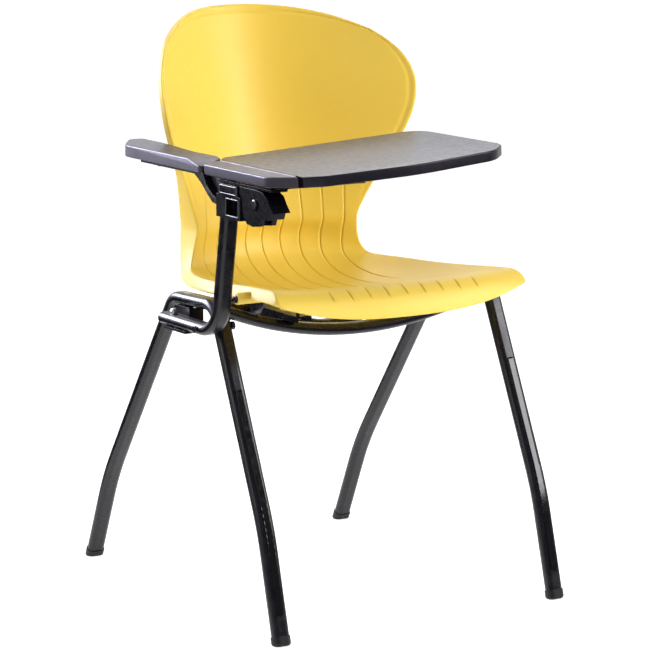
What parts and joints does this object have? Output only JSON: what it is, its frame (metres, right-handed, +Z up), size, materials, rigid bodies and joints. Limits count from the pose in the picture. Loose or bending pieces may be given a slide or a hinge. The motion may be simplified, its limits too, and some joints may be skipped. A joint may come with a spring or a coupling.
{
  "type": "stacking chair with writing tablet",
  "caption": "Shell chair on a black oval-tube frame with an armrest and a fold-away writing tablet.",
  "frame": {"origin": "middle of the bounding box's footprint, on the floor", "axes": "+X to the sitter's left, +Y to the chair's back, +Z up; the chair faces -Y"},
  "size_m": [0.4972, 0.6435, 0.7979],
  "materials": {
    "shell_yellow": "satin injection-moulded polypropylene",
    "frame_black": "satin black powder coat",
    "strip_gloss": "glossy black",
    "foot_plastic": "dull black",
    "black_steel": "blackened screws",
    "bright_steel": "zinc plated",
    "arm_plastic": "fine-grained dark grey",
    "tablet_plastic": "fine-grained bluish grey",
    "cam_plastic": "satin black",
    "rest_rubber": "dull black"
  },
  "bodies": {
    "root": {"left_side_frame": "frame_black", "right_side_frame": "frame_black", "front_crossbar": "frame_black", "rear_crossbar": "frame_black", "left_seat_channel": "frame_black", "right_seat_channel": "frame_black", "left_front_tab": "frame_black", "right_front_tab": "frame_black", "left_rear_glide": "foot_plastic", "right_rear_glide": "foot_plastic", "left_front_glide": "foot_plastic", "right_front_glide": "foot_plastic", "left_leg_strip": "strip_gloss", "right_leg_strip": "strip_gloss", "seat_screws": "black_steel", "shell_side_screws": "black_steel", "seat_shell": "shell_yellow", "arm_post": "frame_black", "arm_post_plug": "foot_plastic", "arm_mount_plate": "frame_black", "arm_bolt": "black_steel", "arm_cap_nut": "bright_steel", "front_arm_bolt": "black_steel", "front_arm_spacer": "frame_black", "front_arm_nut": "black_steel", "pivot_housing": "frame_black", "housing_bolts": "bright_steel", "arm_bracket": "frame_black", "armrest_pad": "arm_plastic", "armrest_screws": "black_steel", "swing_pin": "black_steel", "swing_pin_clip": "black_steel"},
    "swing": {"locking_cam": "cam_plastic", "hinge_carrier": "frame_black", "tablet_strip": "arm_plastic", "hinge_fixed_leaf": "bright_steel", "hinge_pin": "bright_steel", "strip_screws": "black_steel", "rest_pad": "rest_rubber"},
    "tablet": {"tablet_board": "tablet_plastic", "hinge_moving_leaf": "bright_steel"}
  },
  "joints": [
    {"name": "tablet_swing", "type": "hinge", "parent": "root", "child": "swing", "pos_m": [-0.23229, -0.2331, 0.584], "axis": [1, 0, 0], "range_deg": [0, 120]},
    {"name": "tablet_flip", "type": "hinge", "parent": "swing", "child": "tablet", "pos_m": [-0.21801, -0.1961, 0.62411], "axis": [0, -1, 0], "range_deg": [0, 90]}
  ]
}
